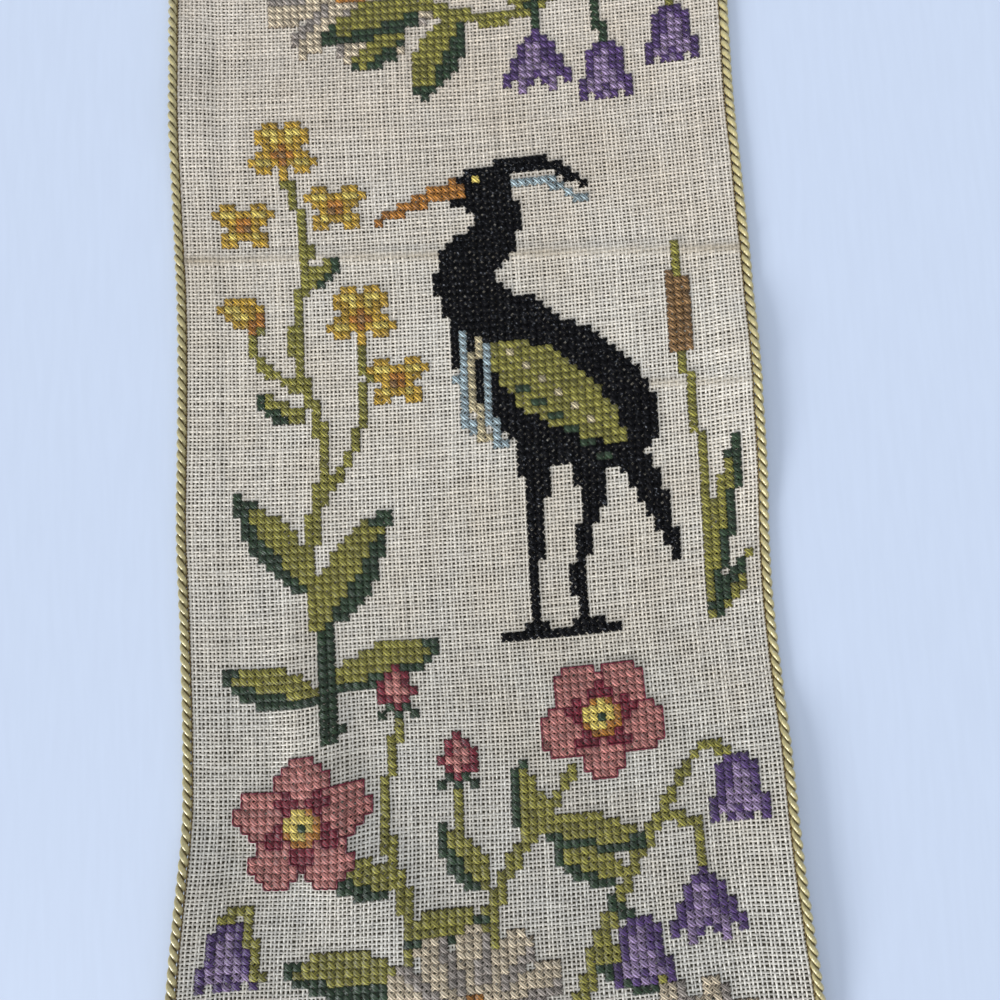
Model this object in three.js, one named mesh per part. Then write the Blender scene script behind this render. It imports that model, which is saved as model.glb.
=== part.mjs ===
// Cross-stitched linen band with twisted cord along both long edges, lying face up.
// Millimetres. +Z is up, +Y runs towards the top of the picture, +X to its right.
// The origin is on the surface under the middle of the band.
// Three pieces: the linen with its turned hems, and the two cords sewn against its long edges.

import * as THREE from 'three';

// Cloth
const BAND_LENGTH = 345;
const LINEN_THICK = 1.2;
const SIDE_TURNING_WIDTH = 7;
const SIDE_TURNING_THICK = 1.6;
const END_HEM_WIDTH = 12;
const END_HEM_THICK = 2;
const HEM_RAMP = 2.5;
const ROW_STEP = 10;
const INNER_COLUMNS = 14;

// Cord: two soft strands laid together. Each has a round back between two shoulders, given by their
// angle from its middle, and there is a valley between it and the other strand.
const CORD_CREST_RADIUS = 1.2;
const CORD_VALLEY_RADIUS = 0.85;
const CORD_STRANDS = 2;
const CORD_SHOULDER = 36;
const CORD_LEAD = 5.4;
const CORD_STEPS_PER_LEAD = 6;
const CORD_GAP = 0.38;

// Long edges of the cloth, from the bottom end to the top end
const EDGE_STATIONS = [
  { y: -172.5, left: -78.2, right: 77.9 },
  { y: -140, left: -76.9, right: 75.9 },
  { y: -115, left: -74.6, right: 73.8 },
  { y: -90, left: -71.9, right: 72.4 },
  { y: -65, left: -71.2, right: 72.4 },
  { y: -37, left: -71.5, right: 71.4 },
  { y: -12, left: -72.1, right: 71.9 },
  { y: 15, left: -71.4, right: 72.3 },
  { y: 45, left: -71.1, right: 72.7 },
  { y: 75, left: -72.0, right: 72.1 },
  { y: 95, left: -72.1, right: 71.6 },
  { y: 125, left: -72.0, right: 72.0 },
  { y: 172.5, left: -72.5, right: 72.3 },
];

// Soft folds: each is a ridge centred at x, y that runs along its heading, in degrees from +X.
// reach is half its length, spread half its width, rise its height off the surface.
const FOLDS = [
  { name: 'upper crease', x: 0, y: 56.5, heading: -1.5, reach: 95, spread: 2.6, rise: 0.75 },
  { name: 'middle crease', x: 34, y: 21, heading: -2.5, reach: 42, spread: 2.6, rise: 0.6 },
  { name: 'top swell', x: -38, y: 96, heading: 14, reach: 40, spread: 17, rise: 1.3 },
  { name: 'lower ridge', x: -40, y: -74, heading: -80, reach: 36, spread: 8, rise: 2.3 },
  { name: 'lower side ridge', x: -20, y: -112, heading: -68, reach: 30, spread: 9, rise: 1.5 },
  { name: 'left edge lift', x: -76, y: -112, heading: -101, reach: 26, spread: 11, rise: 2.2 },
  { name: 'upper left lift', x: -73, y: 108, heading: 90, reach: 22, spread: 8, rise: 1.2 },
  { name: 'right edge lift', x: 74, y: 12, heading: 90, reach: 26, spread: 10, rise: 2.4 },
  { name: 'lower right lift', x: 80, y: -106, heading: -86, reach: 38, spread: 15, rise: 4.2 },
];
// Rises lower than this are pressed flat against the surface
const PRESSED_FLAT = 0.3;

// Rows of the cloth that follow a narrow crease: one on its crest and one at each foot
const CREASES = ['upper crease', 'middle crease'];
const CREASE_FOOT = 3.4;

const rad = THREE.MathUtils.degToRad;
const between = THREE.MathUtils.lerp;

// Height of one fold at a point: a bell across its heading that fades beyond its reach
function foldRise(fold, x, y) {
  const along = (x - fold.x) * Math.cos(rad(fold.heading)) + (y - fold.y) * Math.sin(rad(fold.heading));
  const across = (y - fold.y) * Math.cos(rad(fold.heading)) - (x - fold.x) * Math.sin(rad(fold.heading));
  return fold.rise * Math.exp(-((across / fold.spread) ** 2) - (along / fold.reach) ** 4);
}

// Height of the cloth's underside above the surface
function lift(x, y) {
  const total = FOLDS.reduce((sum, fold) => sum + foldRise(fold, x, y), 0);
  return Math.max(0, total - PRESSED_FLAT);
}

// Smooth value of one column of the edge stations at y, through every station
function edgeAt(side, y) {
  const last = EDGE_STATIONS.length - 1;
  const found = EDGE_STATIONS.findIndex((station) => station.y > y);
  const i = found < 0 ? last - 1 : Math.max(0, found - 1);
  const station = (n) => EDGE_STATIONS[Math.min(last, Math.max(0, n))];
  const slope = (n) => (station(n + 1)[side] - station(n - 1)[side]) / (station(n + 1).y - station(n - 1).y);
  const [from, to] = [station(i), station(i + 1)];
  const span = to.y - from.y;
  const t = (y - from.y) / span;
  const ease = t * t * (3 - 2 * t);
  return between(from[side], to[side], ease)
    + span * t * (1 - t) * ((1 - t) * slope(i) - t * slope(i + 1));
}

// Thickness of the cloth at a distance from a turned edge
function turnedThickness(distance, width, thick) {
  const t = THREE.MathUtils.clamp((distance - width) / HEM_RAMP, 0, 1);
  return between(thick, LINEN_THICK, t);
}

function clothThickness(fromSide, fromEnd) {
  return Math.max(
    turnedThickness(fromSide, SIDE_TURNING_WIDTH, SIDE_TURNING_THICK),
    turnedThickness(fromEnd, END_HEM_WIDTH, END_HEM_THICK),
  );
}

// Skins a run of closed rings, all with the same number of points, and closes both ends
function loft(rings) {
  const count = rings[0].length;
  const positions = rings.flat().flatMap((point) => [point.x, point.y, point.z]);
  const faces = [];
  for (let k = 0; k + 1 < rings.length; k += 1) {
    for (let j = 0; j < count; j += 1) {
      const [a, b] = [k * count + j, k * count + ((j + 1) % count)];
      faces.push(a, b, b + count, a, b + count, a + count);
    }
  }
  const end = (rings.length - 1) * count;
  for (let j = 0; j < count / 2 - 1; j += 1) {
    const [a, b, c, d] = [j, j + 1, count - 2 - j, count - 1 - j];
    faces.push(a, d, b, b, d, c);
    faces.push(end + a, end + b, end + d, end + b, end + c, end + d);
  }
  const geometry = new THREE.BufferGeometry();
  geometry.setAttribute('position', new THREE.Float32BufferAttribute(positions, 3));
  geometry.setIndex(faces);
  geometry.computeVertexNormals();
  return geometry;
}

// Rows of the cloth from the bottom end to the top end, each with its middle height and slope
function clothRows() {
  const half = BAND_LENGTH / 2;
  const creases = CREASES.map((name) => FOLDS.find((fold) => fold.name === name));
  const creaseRows = creases.flatMap((fold) => {
    const slope = Math.tan(rad(fold.heading));
    const middle = fold.y - slope * fold.x;
    return [-CREASE_FOOT, 0, CREASE_FOOT].map((offset) => ({ y: middle + offset, slope }));
  });
  const hemRows = [0, END_HEM_WIDTH, END_HEM_WIDTH + HEM_RAMP]
    .flatMap((inset) => [inset - half, half - inset])
    .map((y) => ({ y, slope: 0 }));
  const inner = half - END_HEM_WIDTH - HEM_RAMP;
  const steps = Math.round((2 * inner) / ROW_STEP);
  const evenRows = Array.from({ length: steps - 1 }, (_, k) => ({
    y: between(-inner, inner, (k + 1) / steps),
    slope: 0,
  })).filter((row) => creaseRows.every((crease) => Math.abs(crease.y - row.y) > CREASE_FOOT));
  return [...hemRows, ...creaseRows, ...evenRows].sort((a, b) => a.y - b.y);
}

// Insets from the left edge of the points of a row, closer together along the turned sides
function columnPlaces(width) {
  const turned = [0, SIDE_TURNING_WIDTH / 2, SIDE_TURNING_WIDTH, SIDE_TURNING_WIDTH + HEM_RAMP];
  const inner = width - 2 * turned.at(-1);
  const middle = Array.from({ length: INNER_COLUMNS - 1 }, (_, i) => (
    turned.at(-1) + (inner * (i + 1)) / INNER_COLUMNS
  ));
  return [...turned, ...middle, ...turned.map((inset) => width - inset).reverse()];
}

// The linen: one sheet with its hems, its underside on the surface but for the folds
function linenGeometry() {
  const rings = clothRows().map((row) => {
    const left = edgeAt('left', row.y);
    const width = edgeAt('right', row.y) - left;
    const fromEnd = BAND_LENGTH / 2 - Math.abs(row.y);
    const points = columnPlaces(width).map((inset) => {
      const x = left + inset;
      const y = row.y + row.slope * x;
      const thick = clothThickness(Math.min(inset, width - inset), fromEnd);
      return { x, y, low: lift(x, y), high: lift(x, y) + thick };
    });
    const under = points.map((p) => new THREE.Vector3(p.x, p.y, p.low));
    const upper = points.map((p) => new THREE.Vector3(p.x, p.y, p.high));
    return [...upper, ...under.reverse()];
  });
  return loft(rings);
}

// One cord along a long edge: its section turns steadily, so its strands lie round each other
function cordGeometry(side) {
  const outward = side === 'left' ? -1 : 1;
  const steps = Math.round((BAND_LENGTH / CORD_LEAD) * CORD_STEPS_PER_LEAD);
  const corners = Array.from({ length: CORD_STRANDS }, (_, k) => (2 * Math.PI * k) / CORD_STRANDS)
    .flatMap((middle) => [
      { angle: middle - rad(CORD_SHOULDER), radius: CORD_CREST_RADIUS },
      { angle: middle + rad(CORD_SHOULDER), radius: CORD_CREST_RADIUS },
      { angle: middle + Math.PI / CORD_STRANDS, radius: CORD_VALLEY_RADIUS },
    ]);
  const offset = CORD_GAP + CORD_CREST_RADIUS;
  const rings = Array.from({ length: steps + 1 }, (_, k) => {
    const y = between(-BAND_LENGTH / 2, BAND_LENGTH / 2, k / steps);
    const edge = edgeAt(side, y);
    const centre = new THREE.Vector3(edge + outward * offset, y, lift(edge, y) + CORD_CREST_RADIUS);
    const turn = (2 * Math.PI * y) / CORD_LEAD;
    return corners.map(({ angle, radius }) => (
      new THREE.Vector3(Math.cos(turn + angle), 0, Math.sin(turn + angle)).multiplyScalar(radius).add(centre)
    ));
  });
  return loft(rings.map((ring) => ring.reverse()));
}

const linenMaterial = new THREE.MeshStandardMaterial({ color: 0xcabfa9, roughness: 0.92, metalness: 0 });
const cordMaterial = new THREE.MeshStandardMaterial({ color: 0x958a57, roughness: 0.6, metalness: 0 });

function piece(name, geometry, material) {
  const mesh = new THREE.Mesh(geometry, material);
  mesh.name = name;
  return mesh;
}

const group = new THREE.Group();
group.add(piece('linen_cloth', linenGeometry(), linenMaterial));
group.add(piece('edge_cord_left', cordGeometry('left'), cordMaterial));
group.add(piece('edge_cord_right', cordGeometry('right'), cordMaterial));

export default group;
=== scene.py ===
"""A cross-stitched linen band: woven ground, counted stitches, outlines, hems and edge cords.

Every length in the code is in metres. The short tables are in millimetres, as MM says, and stitch
places are in cells of the counted chart, each cell two threads of the linen across and two up.
"""

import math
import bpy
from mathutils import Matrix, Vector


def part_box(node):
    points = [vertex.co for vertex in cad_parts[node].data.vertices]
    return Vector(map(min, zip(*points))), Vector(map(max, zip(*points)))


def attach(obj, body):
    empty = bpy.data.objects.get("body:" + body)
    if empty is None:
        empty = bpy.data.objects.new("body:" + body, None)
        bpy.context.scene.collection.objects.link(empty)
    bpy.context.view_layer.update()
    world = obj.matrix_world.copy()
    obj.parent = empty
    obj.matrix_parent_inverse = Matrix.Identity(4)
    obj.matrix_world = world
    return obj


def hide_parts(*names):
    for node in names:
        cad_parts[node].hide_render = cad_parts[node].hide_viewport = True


bl_info = {
    "name": "Cross-stitched linen band",
    "version": (1, 0, 0),
    "blender": (4, 5, 0),
    "location": "View3D > Sidebar > Linen band",
    "description": "Woven linen with a counted cross-stitch picture and twisted edge cords",
    "category": "Object",
}

from dataclasses import dataclass

import bpy
import numpy as np
from mathutils import Matrix, Vector

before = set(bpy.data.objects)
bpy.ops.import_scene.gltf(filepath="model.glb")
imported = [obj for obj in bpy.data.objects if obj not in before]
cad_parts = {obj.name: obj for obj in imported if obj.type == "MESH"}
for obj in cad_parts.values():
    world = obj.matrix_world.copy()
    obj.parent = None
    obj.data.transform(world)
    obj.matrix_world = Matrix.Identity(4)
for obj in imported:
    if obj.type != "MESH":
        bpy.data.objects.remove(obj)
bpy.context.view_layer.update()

MM = 0.001
CLOTH_LOW, CLOTH_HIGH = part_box("linen_cloth")
HALF_LENGTH = (CLOTH_HIGH.y - CLOTH_LOW.y) / 2
RANDOM_SEED = 1847

# Long edges of the cloth in mm, from the bottom end to the top end
EDGE_STATIONS = np.array(
    [
        (-172.5, -78.2, 77.9),
        (-140, -76.9, 75.9),
        (-115, -74.6, 73.8),
        (-90, -71.9, 72.4),
        (-65, -71.2, 72.4),
        (-37, -71.5, 71.4),
        (-12, -72.1, 71.9),
        (15, -71.4, 72.3),
        (45, -71.1, 72.7),
        (75, -72.0, 72.1),
        (95, -72.1, 71.6),
        (125, -72.0, 72.0),
        (172.5, -72.5, 72.3),
    ],
    dtype=[("y", float), ("left", float), ("right", float)],
)

# Soft folds: place in mm, heading in degrees from +X, half length, half width and rise in mm
FOLDS = np.array(
    [
        ("upper crease", 0, 56.5, -1.5, 95, 2.6, 0.75),
        ("middle crease", 34, 21, -2.5, 42, 2.6, 0.6),
        ("top swell", -38, 96, 14, 40, 17, 1.3),
        ("lower ridge", -40, -74, -80, 36, 8, 2.3),
        ("lower side ridge", -20, -112, -68, 30, 9, 1.5),
        ("left edge lift", -76, -112, -101, 26, 11, 2.2),
        ("upper left lift", -73, 108, 90, 22, 8, 1.2),
        ("right edge lift", 74, 12, 90, 26, 10, 2.4),
        ("lower right lift", 80, -106, -86, 38, 15, 4.2),
    ],
    dtype=[
        ("name", "U20"),
        *((measure, float) for measure in ("x", "y", "heading", "reach", "spread", "rise")),
    ],
)
PRESSED_FLAT = 0.3 * MM

# The first two folds, across the band, press the threads wide and darken them along the fold: its half
# width, how much wider the threads are there, how far it lies from the crease, and the length in which it
# starts
CREASES = FOLDS[:2]
PRESS_REACH = 1.2 * MM
PRESS_SPREAD = 0.42
PRESS_DROP = -0.4 * MM
PRESS_START = 20 * MM

LINEN_THICK = 1.2 * MM
SIDE_TURNING_WIDTH = 7 * MM
SIDE_TURNING_THICK = 1.6 * MM
END_HEM_WIDTH = 12 * MM
END_HEM_THICK = 2.0 * MM
HEM_RAMP = 2.5 * MM

# The closed ground under the threads: how far its top is below the cloth's face, how far its back is
# above the cloth's underside, how far its folded side stands out, and the level of that fold
GROUND_DEPTH = 0.5 * MM
GROUND_RISE = 0.1 * MM
GROUND_BULGE = 0.42 * MM
GROUND_FOLD = 0.75

# Tones mixed into the yarns: painted shade in the grooves, the holes and towards the bottom, darker tones
# along the creases and at the top, and painted glints
GROOVE_SHADE_TONE = (0.4, 0.36, 0.33)
HOLE_SHADE_TONE = (0.3, 0.27, 0.22)
CREASE_TONE = (0.6, 0.565, 0.5)
TOP_TONE = (0.945, 0.912, 0.888)
FOOT_SHADE_TONE = (0.88, 0.9, 0.92)
PAINTED_GLINT_TONE = (0.62, 0.64, 0.7)

# Scales of the noise in old textile: broad drift, clouds, patches along the creases, specks and the painted
# glints
BROAD_SCALE = 14.0
CLOUD_SCALE = 62.0
PATCH_SCALE = 26.0
SPECK_SCALE = 760.0
PAINTED_GLINT_SCALE = 1700.0


def colour_property(name, description, default):
    """A colour of a thread or finish, as the sidebar shows it."""
    return bpy.props.FloatVectorProperty(
        name=name, description=description, default=default, subtype="COLOR", size=3, min=0.0, max=1.0
    )


def length_property(name, description, default):
    """A length in metres, as the sidebar shows it."""
    return bpy.props.FloatProperty(
        name=name, description=description, default=default, unit="LENGTH", min=0.0, precision=5
    )


def angle_property(name, description, degrees):
    """An angle given in degrees, as the sidebar shows it."""
    return bpy.props.FloatProperty(
        name=name, description=description, default=math.radians(degrees), subtype="ANGLE"
    )


def number_property(name, description, default, most=10.0):
    """A share or a strength, as the sidebar shows it."""
    return bpy.props.FloatProperty(name=name, description=description, default=default, min=0.0, max=most)


class WeaveSizes(bpy.types.PropertyGroup):
    """Count and thickness of the linen's threads."""

    warps: bpy.props.IntProperty(
        name="Warp threads", description="Threads that run along the band", default=144, min=8
    )
    wefts: bpy.props.IntProperty(
        name="Weft threads", description="Threads that run across the band", default=354, min=8
    )
    thread_width: length_property("Thread width", "Width of one linen thread", 0.6 * MM)
    thread_crown: length_property("Thread crown", "Height of a thread's round back", 0.27 * MM)
    warp_crimp: length_property("Warp crimp", "Rise and fall of a warp at each crossing", 0.12 * MM)
    weft_crimp: length_property("Weft crimp", "Rise and fall of a weft at each crossing", 0.09 * MM)
    slub: number_property("Slub", "How uneven the spun threads are", 0.16, 0.6)
    fuller_top: number_property("Fuller top", "How much thicker the threads are at the top end", 0.16, 0.3)
    row_bow: length_property("Row bow", "How far the rows climb at the right edge", 5.2 * MM)


class StitchSizes(bpy.types.PropertyGroup):
    """Size of the embroidery cotton as it lies."""

    cover: length_property("Stitch width", "Width of the strands side by side in one leg", 1.08 * MM)
    body: length_property("Stitch height", "Thickness of one leg", 0.36 * MM)
    crossing: length_property("Crossing height", "Height of the upper leg over the cloth", 0.3 * MM)
    outline: length_property("Outline width", "Width of the back stitches", 0.42 * MM)
    unevenness: length_property("Unevenness", "How far a hand-made leg wanders", 0.13 * MM)


class CordSizes(bpy.types.PropertyGroup):
    """Size and twist of the cords along the edges."""

    radius: length_property("Cord radius", "Radius over the laid strands", 1.2 * MM)
    flattened: number_property("Flattened", "Width of the pressed cord in parts of its height", 1.02, 2.0)
    gap: length_property("Seam gap", "Distance from the cord to the cloth's edge", 0.06 * MM)
    lead: length_property("Lead", "Length in which a strand goes once round", 5.4 * MM)
    strands: bpy.props.IntProperty(name="Strands", description="Strands laid together", default=2, min=2)
    steps: bpy.props.IntProperty(name="Steps", description="Sections in one lead", default=16, min=6)


class ThreadColours(bpy.types.PropertyGroup):
    """Colours of the linen, the cord and the embroidery cottons, and of the painted shade between the
    threads and in the seam.
    """

    linen: colour_property("Linen", "Undyed linen thread", (0.91, 0.845, 0.755))
    # Painted shade: the dark top of the ground, seen between the threads
    linen_shade: colour_property("Linen shade", "Depth between the threads", (0.078, 0.067, 0.048))
    cord: colour_property("Cord", "Olive gold cord", (0.46, 0.385, 0.17))
    # Painted shade: the brown of the cloth's folded rim in the shaded seam beside each cord
    seam: colour_property("Seam", "Shaded seam between the cord and the cloth", (0.36, 0.24, 0.1))
    black: colour_property("Black", "Black cotton", (0.002, 0.0018, 0.0035))
    pale_blue: colour_property("Pale blue", "Pale blue-grey cotton", (0.40, 0.50, 0.53))
    beige: colour_property("Beige", "Pale beige cotton", (0.62, 0.52, 0.31))
    olive: colour_property("Olive", "Light olive green cotton", (0.30, 0.27, 0.043))
    green: colour_property("Dark green", "Dark green cotton", (0.020, 0.049, 0.015))
    yellow: colour_property("Golden yellow", "Golden yellow cotton", (0.58, 0.355, 0.036))
    amber: colour_property("Amber", "Orange-brown cotton", (0.50, 0.20, 0.025))
    lemon: colour_property("Pale yellow", "Bright pale yellow cotton", (0.78, 0.60, 0.13))
    tan: colour_property("Tan", "Tan-brown cotton", (0.30, 0.16, 0.055))
    purple: colour_property("Purple", "Dark purple cotton", (0.095, 0.044, 0.17))
    lilac: colour_property("Lilac", "Lilac cotton", (0.34, 0.235, 0.41))
    rose: colour_property("Rose", "Rose pink cotton", (0.57, 0.215, 0.185))
    crimson: colour_property("Crimson", "Crimson cotton", (0.22, 0.013, 0.028))
    wine: colour_property("Wine", "Dark red cotton of the outlines", (0.2, 0.013, 0.035))
    ecru: colour_property("Ecru", "Ecru cotton", (0.74, 0.61, 0.43))
    grey: colour_property("Warm grey", "Warm grey cotton", (0.42, 0.36, 0.31))


class StageSettings(bpy.types.PropertyGroup):
    """Camera, light and table."""

    lens: bpy.props.FloatProperty(
        name="Lens", description="Focal length on a 36 mm frame", default=27.0, min=1.0, unit="CAMERA"
    )
    distance: length_property("Camera distance", "From the lens to the aim on the table", 190 * MM)
    aim_x: length_property("Aim right", "Where the camera looks, right of the middle", 7.2 * MM)
    aim_y: bpy.props.FloatProperty(
        name="Aim up", description="Where the camera looks, up from the middle", default=-8 * MM,
        unit="LENGTH",
    )
    tilt: angle_property("Tilt", "Lean of the view away from straight down", 4.9)
    roll: angle_property("Roll", "Turn of the picture in the frame", -2.9)
    table: colour_property("Table", "Smooth pale table top", (0.61, 0.67, 0.80))
    window: number_property("Window light", "Strength of the large soft light", 3.5)
    window_tint: colour_property("Window tint", "Colour of the soft light", (0.94, 0.97, 1.0))
    window_width: angle_property("Window width", "Angle that the soft light fills", 16)
    window_height: angle_property("Window height", "Height of the soft light over the table", 16)
    window_side: angle_property("Window side", "Turn of the soft light from the top to the left", 140)
    fill: number_property("Room light", "Strength of the even light all round", 0.83)
    fill_tint: colour_property("Room tint", "Colour of the even light", (0.85, 0.92, 1.0))


# Letters of the chart: the thread of each, and how full its stitches are
COTTONS = {
    "K": ("black", 0.96),
    "B": ("pale_blue", 0.9),
    "N": ("beige", 0.9),
    "O": ("olive", 1.0),
    "G": ("green", 1.0),
    "Y": ("yellow", 1.0),
    "U": ("amber", 0.98),
    "L": ("lemon", 1.0),
    "T": ("tan", 0.98),
    "V": ("purple", 1.0),
    "W": ("lilac", 0.98),
    "P": ("rose", 1.0),
    "R": ("crimson", 1.0),
    "E": ("ecru", 0.92),
    "F": ("grey", 0.88),
}


def eased(t):
    """Soft step from 0 to 1."""
    t = np.clip(t, 0, 1)
    return t * t * (3 - 2 * t)


def edge_at(side, y):
    """Place of one long edge at y, on a smooth line through every station."""
    at, value = EDGE_STATIONS["y"] * MM, EDGE_STATIONS[side] * MM
    slope = np.gradient(value, at)
    slope[1:-1] = (value[2:] - value[:-2]) / (at[2:] - at[:-2])
    n = np.clip(np.searchsorted(at, y, side="right") - 1, 0, len(at) - 2)
    span = at[n + 1] - at[n]
    t = (y - at[n]) / span
    ease = t * t * (3 - 2 * t)
    curved = span * t * (1 - t) * ((1 - t) * slope[n] - t * slope[n + 1])
    return value[n] + (value[n + 1] - value[n]) * ease + curved


def lift(x, y):
    """Height of the cloth's underside over the table."""
    total = np.zeros(np.broadcast(x, y).shape)
    for fold in FOLDS:
        heading = math.radians(fold["heading"])
        dx, dy = x - fold["x"] * MM, y - fold["y"] * MM
        along = (dx * math.cos(heading) + dy * math.sin(heading)) / (fold["reach"] * MM)
        across = (dy * math.cos(heading) - dx * math.sin(heading)) / (fold["spread"] * MM)
        total += fold["rise"] * MM * np.exp(-(across**2) - along**4)
    return np.maximum(0, total - PRESSED_FLAT)


def pressed(x, y):
    """How hard the threads are pressed flat by the folds across the band, from 0 to 1."""
    most = np.zeros(np.broadcast(x, y).shape)
    for crease in CREASES:
        slope = math.tan(math.radians(crease["heading"]))
        middle = (crease["y"] - slope * crease["x"]) * MM + slope * x + PRESS_DROP
        begun = eased((x - (crease["x"] - crease["reach"]) * MM) / PRESS_START)
        near = crease["rise"] / FOLDS["rise"][0] * np.exp(-(((y - middle) / PRESS_REACH) ** 2))
        most = np.maximum(most, near * begun)
    return most


def cloth_thickness(from_side, from_end):
    """Thickness of the cloth, more where it is turned over at a side or an end."""
    side = np.clip((from_side - SIDE_TURNING_WIDTH) / HEM_RAMP, 0, 1)
    end = np.clip((from_end - END_HEM_WIDTH) / HEM_RAMP, 0, 1)
    side_thick = SIDE_TURNING_THICK + (LINEN_THICK - SIDE_TURNING_THICK) * side
    end_thick = END_HEM_THICK + (LINEN_THICK - END_HEM_THICK) * end
    return np.maximum(side_thick, end_thick)


class Weave:
    """Places on the lying cloth, given in threads from its lower left corner.

    The rows bow upwards towards the right, and low on the left a ridge drags them up on one side of it
    and down on the other.
    """

    ROW_FADE = 45 * MM
    DRAG_PLACE = (-38 * MM, -70 * MM)
    DRAG_SPREAD = (11 * MM, 34 * MM)
    DRAG_FADE = 45 * MM
    DRAG_LEAN = 0.17
    DRAG = 1.7 * MM

    def __init__(self, sizes):
        self.warps = sizes.warps
        self.wefts = sizes.wefts
        self.row_bow = sizes.row_bow
        self.pitch = 2 * HALF_LENGTH / sizes.wefts

    def across(self, share, y):
        """x at a share of the cloth's width at y."""
        near = np.clip(y, -HALF_LENGTH, HALF_LENGTH)
        left, right = edge_at("left", near), edge_at("right", near)
        return left + share * (right - left)

    def place(self, u, v):
        """x and y of thread coordinates u across and v up."""
        u, v = np.broadcast_arrays(np.asarray(u, float), np.asarray(v, float))
        share = u / self.warps
        level = -HALF_LENGTH + v * self.pitch
        free = eased((HALF_LENGTH - np.abs(level)) / self.ROW_FADE)
        bow = self.row_bow * (2 * share**2 - share) * free
        dy = level - self.DRAG_PLACE[1]
        dx = self.across(share, level) - self.DRAG_PLACE[0] + self.DRAG_LEAN * dy
        drag = self.DRAG * np.tanh(dx / self.DRAG_SPREAD[0]) * np.exp(-((dx / self.DRAG_FADE) ** 2))
        drag = drag * np.exp(-((dy / self.DRAG_SPREAD[1]) ** 2))
        y = level + bow + drag
        return self.across(share, y), y

    def face(self, x, y):
        """Height of the cloth's upper face."""
        near = np.clip(y, -HALF_LENGTH, HALF_LENGTH)
        from_side = np.minimum(x - edge_at("left", near), edge_at("right", near) - x)
        return lift(x, y) + cloth_thickness(from_side, HALF_LENGTH - np.abs(y))

    def point(self, u, v, height):
        """Points over the cloth at a height from its upper face."""
        x, y = self.place(u, v)
        return np.stack([x, y, self.face(x, y) + height], axis=-1)


def drift(random, count, length, cells):
    """Smooth random runs between -1 and 1, one row for each of count threads."""
    knots = random.uniform(-1, 1, (count, cells + 2))
    at = np.linspace(0, cells, length)
    n = np.minimum(at.astype(int), cells - 1)
    t = eased(at - n)
    return knots[:, n] * (1 - t) + knots[:, n + 1] * t


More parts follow.
